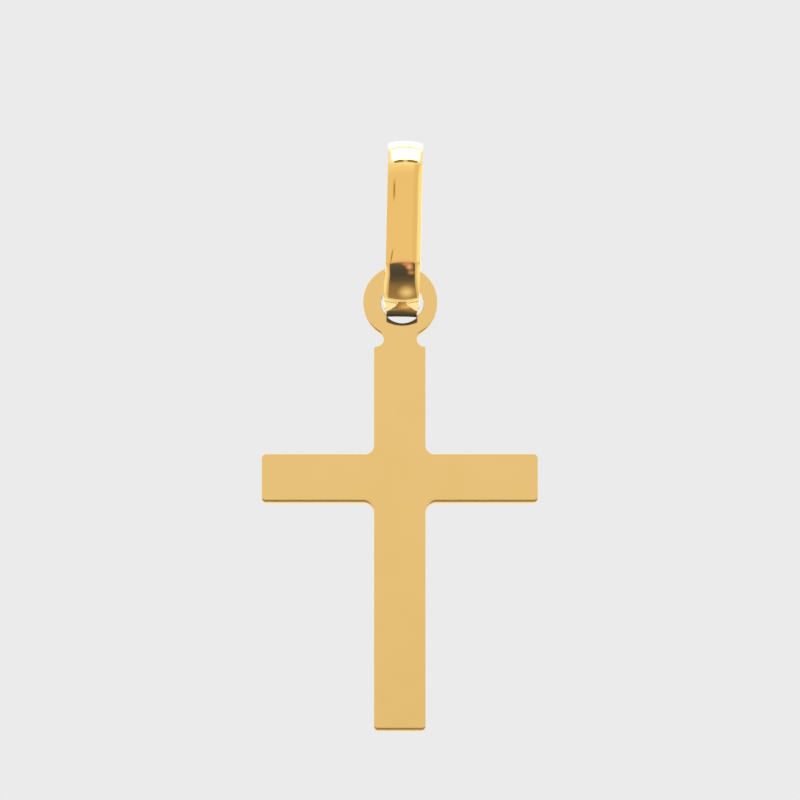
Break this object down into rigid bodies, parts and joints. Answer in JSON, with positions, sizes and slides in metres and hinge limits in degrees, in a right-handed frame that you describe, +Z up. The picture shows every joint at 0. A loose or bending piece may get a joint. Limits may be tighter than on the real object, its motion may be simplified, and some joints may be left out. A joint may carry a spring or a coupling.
{
  "type": "cross pendant",
  "caption": "Plain flat Latin cross pendant with a ring eyelet, hanging in a long closed loop bail of domed strip.",
  "frame": {"origin": "seat of the chain: the middle of the bail's inner crown, at its highest point", "axes": "+Z up, away from the hanging cross; +X to the right as the front is seen; the front faces -Y, and the plate's thickness and the bail's depth run along Y"},
  "size_m": [0.012, 0.004, 0.026],
  "materials": {
    "cross_gold": "polished yellow gold",
    "bail_gold": "polished yellow gold"
  },
  "bodies": {
    "bail": {"bail": "bail_gold"},
    "cross": {"cross": "cross_gold"}
  },
  "joints": [
    {"name": "cross_swing", "type": "hinge", "parent": "bail", "child": "cross", "pos_m": [-0.00011, 0, -0.00521], "axis": [0.9998, 0, -0.0209], "range_deg": [-90, 90]}
  ]
}
